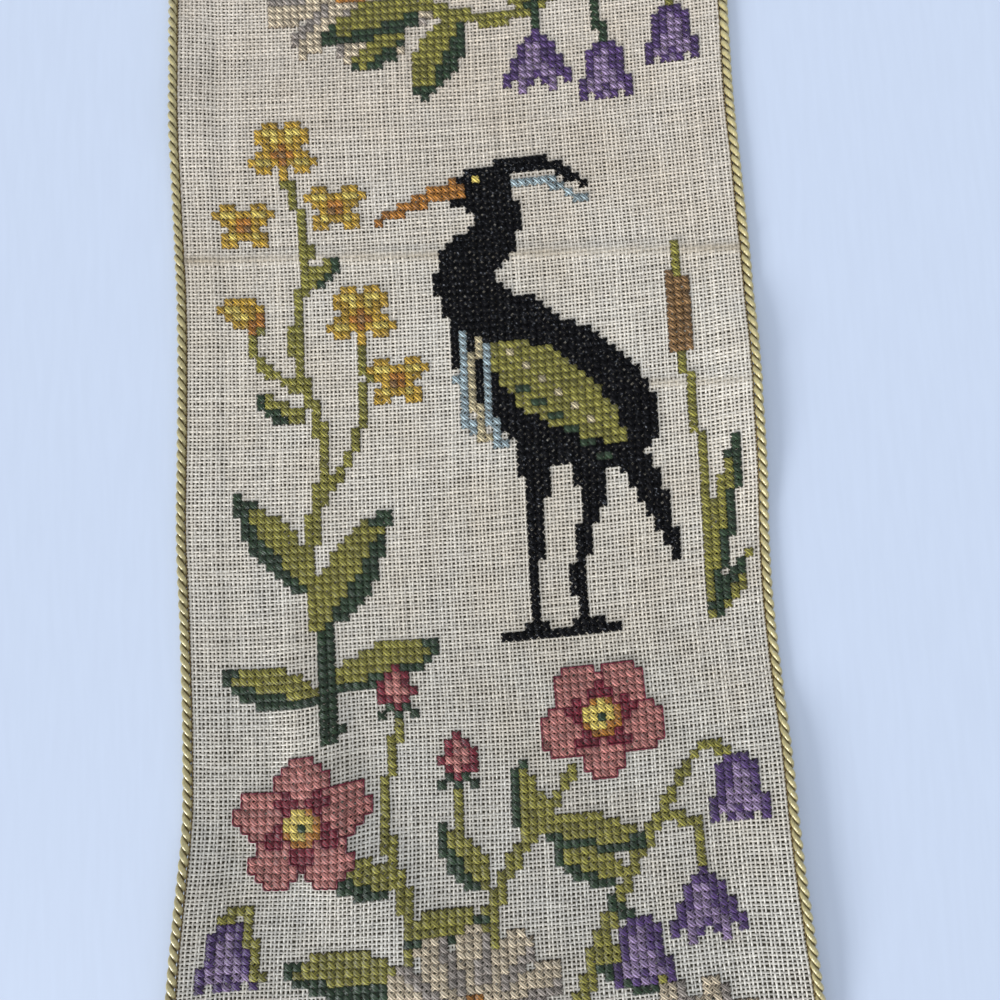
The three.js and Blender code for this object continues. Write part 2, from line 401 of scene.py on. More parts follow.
class Skin:
    """Arrays of one mesh: points, faces, the fibre map, the flat map and a tone for each point."""

    def __init__(self):
        self.points, self.tones, self.crests = [], [], []
        self.quads, self.quad_fibres, self.quad_flats = [], [], []
        self.count = 0

    def add_sweep(self, centres, sides, ups, section, tones, closed=True, flat_box=None, crest=1.0):
        """Sweeps a section along many paths at once.

        centres, sides and ups are paths by stations by xyz, the last two as long as half the section
        is wide and high. section is corners by across, up and crest. flat_box gives each path its part
        of the flat map as left, bottom, width and height. crest is 1 on top and 0 in the depth.
        """
        paths, stations, _ = centres.shape
        corners = len(section)
        points = (
            centres[:, :, None, :]
            + sides[:, :, None, :] * section[None, None, :, 0, None]
            + ups[:, :, None, :] * section[None, None, :, 1, None]
        )
        index = np.arange(paths * stations * corners).reshape(paths, stations, corners) + self.count
        spans = corners if closed else corners - 1
        j = np.arange(spans)
        k = np.arange(stations - 1)
        after = (j + 1) % corners
        here, there = index[:, :-1], index[:, 1:]
        quads = np.stack([here[:, :, j], here[:, :, after], there[:, :, after], there[:, :, j]], axis=-1)
        steps = np.linalg.norm(np.diff(centres, axis=1), axis=-1)
        along = np.concatenate([np.zeros((paths, 1)), np.cumsum(steps, axis=1)], axis=1)
        wide = np.stack([j, j + 1, j + 1, j], axis=-1) / spans
        fibre_u = np.broadcast_to(wide[None, None], (paths, stations - 1, spans, 4))
        ends = np.stack([along[:, :-1], along[:, :-1], along[:, 1:], along[:, 1:]], axis=-1) / MM
        fibre_v = np.broadcast_to(ends[:, :, None, :], fibre_u.shape)
        if flat_box is None:
            flat_box = tiles(paths)
        part = ends / np.maximum(along[:, -1:, None] / MM, 1e-9)
        flat_u = flat_box[:, None, None, None, 0] + flat_box[:, None, None, None, 2] * fibre_u
        flat_v = flat_box[:, None, None, 1] + flat_box[:, None, None, 3] * part
        flat_v = np.broadcast_to(flat_v[:, :, None, :], fibre_u.shape)
        crests = np.broadcast_to(crest, (paths, stations))[..., None] * section[:, 2]
        self.crests.append(crests.ravel())
        self.points.append(points.reshape(-1, 3))
        self.tones.append(np.repeat(tones, stations * corners))
        self.quads.append(quads.reshape(-1, 4))
        self.quad_fibres.append(np.stack([fibre_u, fibre_v], axis=-1).reshape(-1, 4, 2))
        self.quad_flats.append(np.stack([flat_u, flat_v], axis=-1).reshape(-1, 4, 2))
        if closed:
            self.close_ends(index, section, flat_box)
        self.count += paths * stations * corners

    def close_ends(self, index, section, flat_box):
        """Closes both ends of closed sweeps with quads, the last one folded where corners are odd."""
        corners = len(section)
        for ring, turned, place in ((index[:, 0], False, 0.25), (index[:, -1], True, 0.75)):
            for n in range(1, corners - 1, 2):
                order = [0, n, n + 1, min(n + 2, corners - 1)]
                if order[3] == order[2]:
                    order = [0, 0, n, n + 1]
                order = order if turned else order[::-1]
                self.quads.append(ring[:, order])
                spot = section[order, :2] * 0.02
                at = flat_box[:, None, :2] + flat_box[:, None, 2:] * np.array([place, 1.03])
                flats = at + spot[None] * flat_box[:, None, 2:]
                self.quad_fibres.append(np.broadcast_to(spot[None] * 10, (len(ring), 4, 2)))
                self.quad_flats.append(flats)

    def object(self, name, material):
        """Makes the mesh object. A quad whose first two corners are one point becomes a triangle."""
        points = np.concatenate(self.points)
        quads = np.concatenate(self.quads)
        fibres = np.concatenate(self.quad_fibres)
        flats = np.concatenate(self.quad_flats)
        keep = np.ones(quads.shape, bool)
        keep[:, 1:] = quads[:, 1:] != quads[:, :-1]
        keep[:, 0] = quads[:, 0] != quads[:, 3]
        totals = keep.sum(axis=1)
        loops = quads[keep]
        mesh = bpy.data.meshes.new(name)
        mesh.vertices.add(len(points))
        mesh.vertices.foreach_set("co", points.ravel())
        mesh.loops.add(len(loops))
        mesh.loops.foreach_set("vertex_index", loops)
        mesh.polygons.add(len(totals))
        mesh.polygons.foreach_set("loop_start", np.concatenate([[0], np.cumsum(totals)[:-1]]))
        mesh.polygons.foreach_set("loop_total", totals)
        mesh.polygons.foreach_set("use_smooth", np.ones(len(totals), bool))
        mesh.update(calc_edges=True)
        add_map(mesh, "fibre", fibres[keep])
        add_map(mesh, "OFBake", flats[keep])
        for mask, values in (("tone", self.tones), ("crest", self.crests)):
            layer = mesh.attributes.new(mask, "FLOAT", "POINT")
            layer.data.foreach_set("value", np.concatenate(values))
        mesh.validate()
        mesh.materials.append(material)
        return placed(name, mesh)


def placed(name, data):
    """A new object in the scene."""
    made = bpy.data.objects.new(name, data)
    bpy.context.scene.collection.objects.link(made)
    return made


def add_map(mesh, name, places):
    """A UV map with a place for each corner of the mesh."""
    mesh.uv_layers.new(name=name).data.foreach_set("uv", places.ravel())


def tiles(count):
    """Equal boxes of a square map, one for each of count pieces, with a rim between them."""
    across = max(1, math.ceil(math.sqrt(count)))
    n = np.arange(count)
    size = 1 / across
    return np.stack(
        [
            (n % across + 0.06) * size,
            (n // across + 0.06) * size,
            np.full(count, 0.88 * size),
            np.full(count, 0.8 * size),
        ],
        axis=-1,
    )


def strips(count):
    """Tall narrow boxes of a square map, side by side."""
    left = (np.arange(count) + 0.05) / count
    return np.stack([left, np.full(count, 0.01), np.full(count, 0.9 / count), np.full(count, 0.96)], axis=-1)


def upright(centres, height):
    """Vectors of one height straight up from every point."""
    return np.broadcast_to(np.array([0.0, 0.0, height]), centres.shape)


def level_sides(centres):
    """Level unit vectors to the right of each path."""
    ahead = np.gradient(centres, axis=1)
    side = np.stack([ahead[..., 1], -ahead[..., 0], np.zeros(ahead.shape[:2])], axis=-1)
    return side / np.maximum(np.linalg.norm(side, axis=-1, keepdims=True), 1e-12)


# Materials


class Tree:
    """Short hand for making and joining shader nodes."""

    def __init__(self, tree):
        self.tree = tree
        self.column = 0

    def add(self, kind, values=None, **settings):
        """A node with its settings, and a value or a joined socket for each named input."""
        node = self.tree.nodes.new(kind)
        node.location = (self.column * 190, -160 * (len(self.tree.nodes) % 5))
        self.column += 1
        for name, value in settings.items():
            setattr(node, name, value)
        for name, value in (values or {}).items():
            self.feed(node.inputs[name], value)
        return node

    def feed(self, socket, value):
        if isinstance(value, bpy.types.NodeSocket):
            self.tree.links.new(value, socket)
        else:
            socket.default_value = value

    def math(self, operation, *values):
        node = self.add("ShaderNodeMath", operation=operation)
        for n, value in enumerate(values):
            self.feed(node.inputs[n], value)
        return node.outputs[0]

    def span(self, value, low, high, out_low=0.0, out_high=1.0, smooth=False):
        kind = "SMOOTHSTEP" if smooth else "LINEAR"
        node = self.add("ShaderNodeMapRange", interpolation_type=kind, clamp=True)
        for n, number in enumerate((value, low, high, out_low, out_high)):
            self.feed(node.inputs[n], number)
        return node.outputs[0]

    def mix(self, kind, factor, first, second):
        node = self.add("ShaderNodeMix", data_type="RGBA", blend_type=kind)
        for n, value in ((0, factor), (6, first), (7, second)):
            self.feed(node.inputs[n], value)
        return node.outputs[2]

    def noise(self, vector, scale, detail=2.0, roughness=0.5):
        values = {"Vector": vector, "Scale": scale, "Detail": detail, "Roughness": roughness}
        return self.add("ShaderNodeTexNoise", values).outputs["Fac"]

    def place(self, group, values=None):
        """Puts a shared node group in this tree and gives its outputs."""
        return self.add("ShaderNodeGroup", values, node_tree=group).outputs

    def relief(self, shader, height, distance, strength=1.0):
        """Bumps the shader's surface by a height."""
        bump = self.add("ShaderNodeBump", {"Strength": strength, "Distance": distance, "Height": height})
        self.feed(shader.inputs["Normal"], bump.outputs[0])


def group_with(name, inputs, outputs):
    """An empty shader node group with named sockets, and its two end nodes."""
    group = bpy.data.node_groups.new(name, "ShaderNodeTree")
    for label, kind, default in inputs:
        socket = group.interface.new_socket(label, in_out="INPUT", socket_type=kind)
        if default is not None:
            socket.default_value = default
    for label, kind in outputs:
        group.interface.new_socket(label, in_out="OUTPUT", socket_type=kind)
    tree = Tree(group)
    return group, tree, tree.add("NodeGroupInput").outputs, tree.add("NodeGroupOutput").inputs


def laid_fibre_group():
    """Plies and fine fibres of a yarn, in its own map: across from 0 to 1 and along in mm."""
    inputs = (
        ("Map", "NodeSocketVector", None),
        ("Plies", "NodeSocketFloat", 3.0),
        ("Lay", "NodeSocketFloat", 0.2),
        ("Fineness", "NodeSocketFloat", 14.0),
    )
    outputs = (("Height", "NodeSocketFloat"), ("Groove", "NodeSocketFloat"), ("Fibre", "NodeSocketFloat"))
    group, tree, given, made = group_with("Laid fibre", inputs, outputs)
    parts = tree.add("ShaderNodeSeparateXYZ", {0: given["Map"]}).outputs
    lay = tree.math("MULTIPLY", parts["Y"], given["Lay"])
    turned = tree.math("MULTIPLY_ADD", parts["X"], given["Plies"], lay)
    wave = tree.math("ABSOLUTE", tree.math("SINE", tree.math("MULTIPLY", turned, math.pi)))
    places = {
        "X": tree.math("MULTIPLY", turned, given["Fineness"]),
        "Y": tree.math("MULTIPLY", parts["Y"], 1.3),
    }
    fibre = tree.noise(tree.add("ShaderNodeCombineXYZ", places).outputs[0], 1.0, 3.0, 0.6)
    tree.feed(made["Height"], tree.math("MULTIPLY_ADD", fibre, 0.4, tree.math("MULTIPLY", wave, 0.6)))
    tree.feed(made["Groove"], tree.span(wave, 0.55, 0.0, smooth=True))
    tree.feed(made["Fibre"], fibre)
    return group


def aged_tone_and_shade_group():
    """Uneven colour of old textile: broad drift, cloudy spots, a tone for each thread, and painted shade in
    the depth.
    """
    inputs = (
        ("Color", "NodeSocketColor", None),
        ("Warm", "NodeSocketColor", (0.9, 0.84, 0.76, 1.0)),
        ("Drift", "NodeSocketFloat", 0.2),
        ("Tone", "NodeSocketFloat", 0.5),
        ("Tone Range", "NodeSocketFloat", 0.2),
        ("Crest", "NodeSocketFloat", 1.0),
        ("Depth Shade", "NodeSocketColor", (0.5, 0.44, 0.38, 1.0)),
        ("Speck", "NodeSocketFloat", 0.2),
    )
    outputs = (("Color", "NodeSocketColor"), ("Cloud", "NodeSocketFloat"))
    group, tree, given, made = group_with("Aged tone and depth shade", inputs, outputs)
    place = tree.add("ShaderNodeTexCoord").outputs["Object"]
    broad = tree.noise(place, BROAD_SCALE)
    cloud = tree.noise(place, CLOUD_SCALE, 4.0, 0.62)
    speck = tree.noise(place, SPECK_SCALE, 1.0)
    both = tree.math("MULTIPLY_ADD", cloud, 0.55, tree.math("MULTIPLY", broad, 0.45))
    veil = tree.span(both, 0.36, 0.66, smooth=True)
    drift_share = tree.math("MULTIPLY", veil, given["Drift"])
    warmed = tree.mix("MULTIPLY", drift_share, given["Color"], given["Warm"])
    low = tree.math("SUBTRACT", 1.0, tree.math("MULTIPLY", given["Tone Range"], 0.5))
    high = tree.math("ADD", 1.0, tree.math("MULTIPLY", given["Tone Range"], 0.5))
    spark = tree.math("MULTIPLY", tree.math("SUBTRACT", speck, 0.5), given["Speck"])
    value = tree.math("MULTIPLY_ADD", spark, 2.0, tree.span(given["Tone"], 0, 1, low, high))
    # Painted shade: the colour is darkened where the crest is low, in the depth
    depth = tree.span(given["Crest"], 0.95, 0.1)
    depth_shaded = tree.mix("MULTIPLY", depth, warmed, given["Depth Shade"])
    adjust = tree.add("ShaderNodeHueSaturation", {"Value": value, "Color": depth_shaded})
    tree.feed(made["Color"], adjust.outputs[0])
    tree.feed(made["Cloud"], veil)
    return group


def cloth_tone_and_shade_group():
    """Darker along the two folds across the band, darker and warmer at the top, and painted shade at the
    bottom.
    """
    outputs = [(label, "NodeSocketFloat") for label in ("Crease", "Top Tone", "Foot Shade")]
    group, tree, _, made = group_with("Cloth tone and shade", (), outputs)
    place = tree.add("ShaderNodeTexCoord").outputs["Object"]
    parts = tree.add("ShaderNodeSeparateXYZ", {0: place}).outputs
    patch = tree.noise(place, PATCH_SCALE)
    fold_darkening = 0.0
    for crease in CREASES:
        slope = math.tan(math.radians(crease["heading"]))
        level = (crease["y"] - slope * crease["x"]) * MM + PRESS_DROP
        middle = tree.math("MULTIPLY_ADD", parts["X"], slope, level)
        away = tree.math("ABSOLUTE", tree.math("SUBTRACT", parts["Y"], middle))
        share = crease["rise"] / FOLDS["rise"][0]
        near = tree.span(away, 1.7 * PRESS_REACH, 0.0, 0.0, share, smooth=True)
        start = (crease["x"] - crease["reach"]) * MM
        begun = tree.span(parts["X"], start, start + PRESS_START, smooth=True)
        fold_darkening = tree.math("MAXIMUM", fold_darkening, tree.math("MULTIPLY", near, begun))
    patchy = tree.span(patch, 0.38, 0.6, 0.55, 1.0, smooth=True)
    tree.feed(made["Crease"], tree.math("MULTIPLY", fold_darkening, patchy))
    tree.feed(made["Top Tone"], tree.span(parts["Y"], 25 * MM, 110 * MM, smooth=True))
    # Painted shade: the cloth is darker and cooler towards the bottom
    tree.feed(made["Foot Shade"], tree.span(parts["Y"], 0.0, -95 * MM, smooth=True))
    return group


def plain_weave_group():
    """Over-and-under weave drawn on a flat face, in thread coordinates."""
    inputs = (("Threads", "NodeSocketVector", None),)
    outputs = (("Height", "NodeSocketFloat"), ("Hole", "NodeSocketFloat"))
    group, tree, given, made = group_with("Plain weave", inputs, outputs)
    parts = tree.add("ShaderNodeSeparateXYZ", {0: given["Threads"]}).outputs
    warp = tree.math("SINE", tree.math("MULTIPLY", tree.math("FRACT", parts["X"]), math.pi))
    weft = tree.math("SINE", tree.math("MULTIPLY", tree.math("FRACT", parts["Y"]), math.pi))
    cell = tree.math("ADD", tree.math("FLOOR", parts["X"]), tree.math("FLOOR", parts["Y"]))
    over = tree.math("FLOORED_MODULO", cell, 2.0)
    warp_up = tree.math("MULTIPLY", warp, tree.math("MULTIPLY_ADD", over, 0.5, 0.5))
    weft_up = tree.math("MULTIPLY", weft, tree.math("MULTIPLY_ADD", over, -0.5, 1.0))
    top = tree.math("MAXIMUM", warp_up, weft_up)
    tree.feed(made["Height"], top)
    tree.feed(made["Hole"], tree.span(tree.math("MAXIMUM", warp, weft), 0.72, 0.5, smooth=True))
    return group


def rgba(colour):
    """A colour with its alpha, for a shader socket."""
    return (*colour, 1.0)


def start_material(name, **values):
    """A material with one Principled BSDF, whose plain sockets are set here."""
    material = bpy.data.materials.new(name)
    material.use_nodes = True
    tree = Tree(material.node_tree)
    shader = material.node_tree.nodes["Principled BSDF"]
    shader.location = (1500, 0)
    for label, value in values.items():
        shader.inputs[label.replace("_", " ")].default_value = value
    return material, tree, shader


@dataclass(frozen=True)
class Yarn:
    """How a yarn is twisted, how it has aged, how it shines, and the shade and glints painted on it."""

    plies: float
    lay: float
    fineness: float
    relief: float
    groove_shade: float
    gloss: float
    rough: tuple
    drift: float
    tone: float
    streak: tuple
    sheen: float = 0.0
    metal: float = 0.0
    painted_glint: float = 0.0
    takes_cloth_tone_and_shade: bool = False


STRANDED_COTTON = Yarn(
    plies=4.0, lay=0.5, fineness=1.6, relief=0.16 * MM, groove_shade=0.6, gloss=0.44, rough=(0.5, 0.29),
    drift=0.14, tone=0.55, streak=(0.62, 1.65), sheen=0.01, painted_glint=0.13,
)
BLACK_COTTON = Yarn(
    plies=4.0, lay=0.5, fineness=1.6, relief=0.16 * MM, groove_shade=0.5, gloss=0.11, rough=(0.5, 0.2),
    drift=0.1, tone=0.3, streak=(0.6, 1.3), painted_glint=0.34,
)
SATIN_CORD = Yarn(
    plies=8.0, lay=-2.9, fineness=1.2, relief=0.05 * MM, groove_shade=0.3, gloss=1.0, rough=(0.42, 0.26),
    drift=0.3, tone=0.16, streak=(0.8, 1.25), sheen=0.16, metal=0.15, painted_glint=0.22,
)
SPUN_LINEN = Yarn(
    plies=1.0, lay=0.0, fineness=3.0, relief=0.06 * MM, groove_shade=0.2, gloss=0.6, rough=(0.55, 0.35),
    drift=0.6, tone=0.26, streak=(0.75, 1.25), sheen=0.04, takes_cloth_tone_and_shade=True,
)


def yarn_material(name, colour, groups, yarn, depth_shade=(0.15, 0.12, 0.1), speck=0.25):
    """Twisted yarn: plies and fibres in relief, painted shade in its grooves and depth, aged colour and
    painted glints.
    """
    material, tree, shader = start_material(
        name,
        Specular_IOR_Level=yarn.gloss,
        Sheen_Weight=yarn.sheen,
        Sheen_Roughness=0.5,
        Metallic=yarn.metal,
    )
    tone = tree.add("ShaderNodeAttribute", attribute_name="tone").outputs["Fac"]
    crest = tree.add("ShaderNodeAttribute", attribute_name="crest").outputs["Fac"]
    laid = tree.place(
        groups["fibre"],
        {
            "Map": tree.add("ShaderNodeUVMap", uv_map="fibre").outputs[0],
            "Plies": yarn.plies,
            "Lay": yarn.lay,
            "Fineness": yarn.fineness,
        },
    )
    aged_shaded = tree.place(
        groups["aged_shaded"],
        {
            "Color": rgba(colour),
            "Drift": yarn.drift,
            "Tone": tone,
            "Tone Range": yarn.tone,
            "Crest": crest,
            "Depth Shade": rgba(depth_shade),
            "Speck": speck,
        },
    )
    # Painted shade: the grooves between the plies are darkened
    groove_shade = tree.math("MULTIPLY", laid["Groove"], yarn.groove_shade)
    shade = tree.mix("MULTIPLY", groove_shade, aged_shaded["Color"], rgba(GROOVE_SHADE_TONE))
    if yarn.takes_cloth_tone_and_shade:
        cloth_tones = tree.place(groups["cloth_tones"])
        tones = (("Crease", CREASE_TONE), ("Top Tone", TOP_TONE), ("Foot Shade", FOOT_SHADE_TONE))
        for label, cloth_tone in tones:
            shade = tree.mix("MULTIPLY", cloth_tones[label], shade, rgba(cloth_tone))
    streak = tree.span(laid["Fibre"], 0.3, 0.7, *yarn.streak)
    yarn_colour = tree.add("ShaderNodeHueSaturation", {"Color": shade, "Value": streak}).outputs[0]
    # Painted glints: light specks mixed into the colour on the yarn's crests
    if yarn.painted_glint:
        glint_share = tree.noise(tree.add("ShaderNodeTexCoord").outputs["Object"], PAINTED_GLINT_SCALE, 1.0)
        glint_share = tree.math("MULTIPLY", tree.span(glint_share, 0.66, 0.74, 0.0, yarn.painted_glint), crest)
        yarn_colour = tree.mix("MIX", glint_share, yarn_colour, rgba(PAINTED_GLINT_TONE))
    tree.feed(shader.inputs["Base Color"], yarn_colour)
    tree.feed(shader.inputs["Roughness"], tree.span(laid["Fibre"], 0.25, 0.75, *yarn.rough))
    tree.relief(shader, laid["Height"], yarn.relief)
    return material


def ground_materials(colours, groups):
    """The ground under the threads: painted shade seen through them, the cloth's back, and its painted seam
    shade.
    """
    made = []
    for name, colour, hole_shade_share in (
        ("linen depth shade", colours.linen_shade, 0.5),
        ("linen back", colours.linen, 0.85),
        ("cord seam shade", colours.seam, 0.5),
    ):
        material, tree, shader = start_material(name, Specular_IOR_Level=0.2)
        threads = tree.add("ShaderNodeUVMap", uv_map="threads").outputs[0]
        weave = tree.place(groups["weave"], {"Threads": threads})
        aged_shaded = tree.place(groups["aged_shaded"], {"Color": rgba(colour), "Drift": 0.5, "Tone Range": 0.0})
        # Painted shade in the holes of the weave drawn on the ground
        hole_shade = tree.math("MULTIPLY", weave["Hole"], hole_shade_share)
        tree.feed(shader.inputs["Base Color"], tree.mix("MULTIPLY", hole_shade, aged_shaded["Color"], rgba(HOLE_SHADE_TONE)))
        tree.feed(shader.inputs["Roughness"], tree.span(aged_shaded["Cloud"], 0, 1, 0.85, 0.95))
        tree.relief(shader, weave["Height"], 0.25 * MM, 0.9)
        made.append(material)
    return made


def table_material(colour):
    """Smooth pale table top with faint drawn lines."""
    material, tree, shader = start_material("pale table", Specular_IOR_Level=0.3)
    place = tree.add("ShaderNodeTexCoord").outputs["Object"]
    drawn = tree.add("ShaderNodeMapping", {"Vector": place, "Scale": (90.0, 9.0, 1.0)}).outputs[0]
    line = tree.span(tree.noise(drawn, 6.0, 3.0), 0.35, 0.7, 0.985, 1.01)
    final = tree.add("ShaderNodeHueSaturation", {"Color": rgba(colour), "Value": line})
    tree.feed(shader.inputs["Base Color"], final.outputs[0])
    tree.feed(shader.inputs["Roughness"], tree.span(line, 0.98, 1.01, 0.52, 0.44))
    return material


def shared_groups():
    """The shader node groups, made once."""
    makers = (
        ("fibre", "Laid fibre", laid_fibre_group),
        ("aged_shaded", "Aged tone and depth shade", aged_tone_and_shade_group),
        ("cloth_tones", "Cloth tone and shade", cloth_tone_and_shade_group),
        ("weave", "Plain weave", plain_weave_group),
    )
    return {key: bpy.data.node_groups.get(name) or make() for key, name, make in makers}


# Linen


def linen_ground(weave, materials):
    """The body of the cloth under its threads: one closed sheet on the folds of the lying band."""
    columns, rows = 48, 116
    u = np.linspace(0, weave.warps, columns + 1)
    v = np.linspace(0, weave.wefts, rows + 1)
    across, up = np.meshgrid(u, v)
    x, y = weave.place(across, up)
    upper = np.stack([x, y, weave.face(x, y) - GROUND_DEPTH], axis=-1).reshape(-1, 3)
    under = np.stack([x, y, lift(x, y) + GROUND_RISE], axis=-1).reshape(-1, 3)
    wide = columns + 1
    count = len(upper)
    corner = (np.arange(rows)[:, None] * wide + np.arange(columns)[None, :]).ravel()
    upper_faces = np.stack([corner, corner + 1, corner + 1 + wide, corner + wide], axis=-1)
    under_faces = upper_faces[:, ::-1] + count
    rim = np.concatenate(
        [
            np.arange(columns),
            np.arange(rows) * wide + columns,
            rows * wide + np.arange(columns, 0, -1),
            np.arange(rows, 0, -1) * wide,
        ]
    )
    after = np.roll(rim, -1)
    fold = 2 * count + np.arange(len(rim))
    fold_after = np.roll(fold, -1)
    outward = np.stack([np.sign(u - weave.warps / 2), np.zeros(wide)], axis=-1)[rim % wide]
    outward = outward * ((rim % wide == 0) | (rim % wide == columns))[:, None]
    bulge = np.concatenate([outward * GROUND_BULGE, np.zeros((len(rim), 1))], axis=-1)
    folded = GROUND_FOLD * upper[rim] + (1 - GROUND_FOLD) * under[rim] + bulge
    low_rim = np.stack([rim + count, after + count, fold_after, fold], axis=-1)
    high_rim = np.stack([fold, fold_after, after, rim], axis=-1)
    faces = np.concatenate([upper_faces, under_faces, low_rim, high_rim])
    mesh = bpy.data.meshes.new("linen_ground")
    mesh.from_pydata(np.concatenate([upper, under, folded]).tolist(), [], faces.tolist())
    mesh.polygons.foreach_set("use_smooth", np.ones(len(faces), bool))
    # The upper face takes the painted shade seen between the threads, the rest the cloth's back, and the rim
    # along the long sides the seam's painted shade
    slots = np.ones(len(faces), int)
    slots[: len(upper_faces)] = 0
    rim_slots = np.where(outward[:, 0] * np.roll(outward[:, 0], -1) > 0, 2, 1)
    slots[-2 * len(rim) :] = np.tile(rim_slots, 2)
    mesh.polygons.foreach_set("material_index", slots)
    threads = np.stack([across, up], axis=-1).reshape(-1, 2)
    threads = np.concatenate([threads, threads, threads[rim] + outward])
    add_map(mesh, "threads", threads[faces.ravel()])
    # In the flat map the upper face lies in the left half, and the under face and the rim in the right
    flat = threads / np.array([weave.warps + 4, weave.wefts]) * np.array([0.47, 0.98]) + 0.012
    flats = flat[faces.ravel()].reshape(-1, 4, 2).copy()
    flats[len(upper_faces) :, :, 0] += 0.5
    add_map(mesh, "OFBake", flats)
    for material in materials:
        mesh.materials.append(material)
    return placed("linen_ground", mesh)


# Back of a linen thread: across, up, and 1 where it is on top; its lower sides take painted shade
THREAD_SECTION = np.array([(-1.0, -1.0, 0.3), (0.0, 0.0, 1.0), (1.0, -1.0, 0.3)])
# How far a thread strays from its own place and runs past the last crossing, in threads, and how deep
# its last two points are tucked in
THREAD_WANDER = 0.16
THREAD_END = 0.15
THREAD_TUCK = (-0.9 * MM, -0.2 * MM)


def linen_threads(weave, sizes, material, random):
    """Every thread of the cloth as a round-backed ribbon that goes over and under the others."""
    made = []
    for name, count, crossings, crimp, halves in (
        ("warp_threads", weave.warps, weave.wefts, sizes.warp_crimp, ("left", "right")),
        ("weft_threads", weave.wefts, weave.warps, sizes.weft_crimp, ("lower", "upper")),
    ):
        ends = [-THREAD_END, 0.0], [crossings, crossings + THREAD_END]
        stations = np.concatenate([ends[0], np.arange(crossings) + 0.5, ends[1]])
        inner = slice(2, -2)
        wander = THREAD_WANDER * drift(random, count, len(stations), crossings // 9)
        swell = 1 + sizes.slub * drift(random, count, len(stations), crossings // 5)
        swell *= 1 + 0.8 * sizes.slub * random.uniform(-1, 1, (count, len(stations)))
        level = stations[None, :] if name == "warp_threads" else np.arange(count)[:, None]
        swell = swell * (1 + sizes.fuller_top * (2 * level / weave.wefts - 1))
        tone = random.uniform(0, 1, count)
        parity = (np.arange(count)[:, None] + np.arange(crossings)[None, :]) % 2
        rise = np.zeros((count, len(stations)))
        over = parity == (0 if name == "warp_threads" else 1)
        rise[:, inner] = np.where(over, crimp, -crimp)
        rise[:, [0, -1]], rise[:, [1, -2]] = THREAD_TUCK
        # crest sets the painted shade on the threads where they pass under
        crest = np.interp(rise, [-sizes.warp_crimp, sizes.warp_crimp], [0, 1])
        own = np.arange(count)[:, None] + 0.5 + wander
        along = np.broadcast_to(stations[None, :], own.shape)
        u, v = (own, along) if name == "warp_threads" else (along, own)
        centres = weave.point(u, v, rise - sizes.warp_crimp)
        swell = swell * (1 + PRESS_SPREAD * pressed(centres[..., 0], centres[..., 1]))
        sides = level_sides(centres) * (sizes.thread_width / 2 * swell)[..., None]
        ups = upright(centres, sizes.thread_crown)
        middle = count // 2
        for half, chosen in zip(halves, (slice(0, middle), slice(middle, count))):
            skin = Skin()
            flat_box = strips(len(tone[chosen]))
            own_paths = (centres[chosen], sides[chosen], ups[chosen])
            skin.add_sweep(*own_paths, THREAD_SECTION, tone[chosen], False, flat_box, crest[chosen])
            made.append(skin.object(f"{name}_{half}", material))
    return made


# Thread of the hem stitches as it lies
HEM_STITCH_WIDTH = 0.34 * MM
HEM_STITCH_BODY = 0.13 * MM


def hem_stitches(weave, material, random):
    """Small slip stitches that hold the turned hem at each end."""
    spacing, reach, rise, inset = 6.0, 1.6, 0.5, (END_HEM_WIDTH - 1.0 * MM) / weave.pitch
    first = np.arange(8, weave.warps - 8, spacing)
    first = first + random.uniform(-0.5, 0.5, len(first))
    share = np.array([0.0, 0.2, 0.8, 1.0])
    height = np.array([-0.5, 0.06, 0.06, -0.5]) * MM
    skin = Skin()
    for level in (inset, weave.wefts - inset):
        u = first[:, None] + reach * share[None, :]
        v = level + rise * share[None, :] + 0 * u
        centres = weave.point(u, v, height[None, :] + 0 * u)
        sides = level_sides(centres) * HEM_STITCH_WIDTH / 2
        ups = upright(centres, HEM_STITCH_BODY)
        skin.add_sweep(centres, sides, ups, STRAND_SECTION, random.uniform(0, 1, len(first)))
    return skin.object("hem_stitches", material)


# The counted picture


def soft_line(points):
    """Close points on a soft curve through the given ones."""
    points = [np.array(point, float) for point in points]
    line = []
    for n in range(len(points) - 1):
        before, start = points[max(0, n - 1)], points[n]
        end, after = points[n + 1], points[min(len(points) - 1, n + 2)]
        for t in np.linspace(0, 1, max(3, int(3 * np.linalg.norm(end - start))), endpoint=False):
            line.append(
                0.5
                * (
                    2 * start
                    + (end - before) * t
                    + (2 * before - 5 * start + 4 * end - after) * t**2
                    + (3 * start - before - 3 * end + after) * t**3
                )
            )
    return [*line, points[-1]]


def cells_near(x, y, reach, turn):
    """Cells round a place, each with its distance along and aside of a heading in degrees."""
    c, s = math.cos(math.radians(turn)), math.sin(math.radians(turn))
    reach = math.ceil(reach) + 1
    for i in range(math.floor(x) - reach, math.floor(x) + reach + 1):
        for j in range(math.floor(y) - reach, math.floor(y) + reach + 1):
            dx, dy = i + 0.5 - x, j + 0.5 - y
            yield i, j, dx * c + dy * s, dy * c - dx * s


def off_from(x, y, reach, turn):
    """The place that lies at a reach and a heading in degrees from x, y."""
    return x + reach * math.cos(math.radians(turn)), y + reach * math.sin(math.radians(turn))


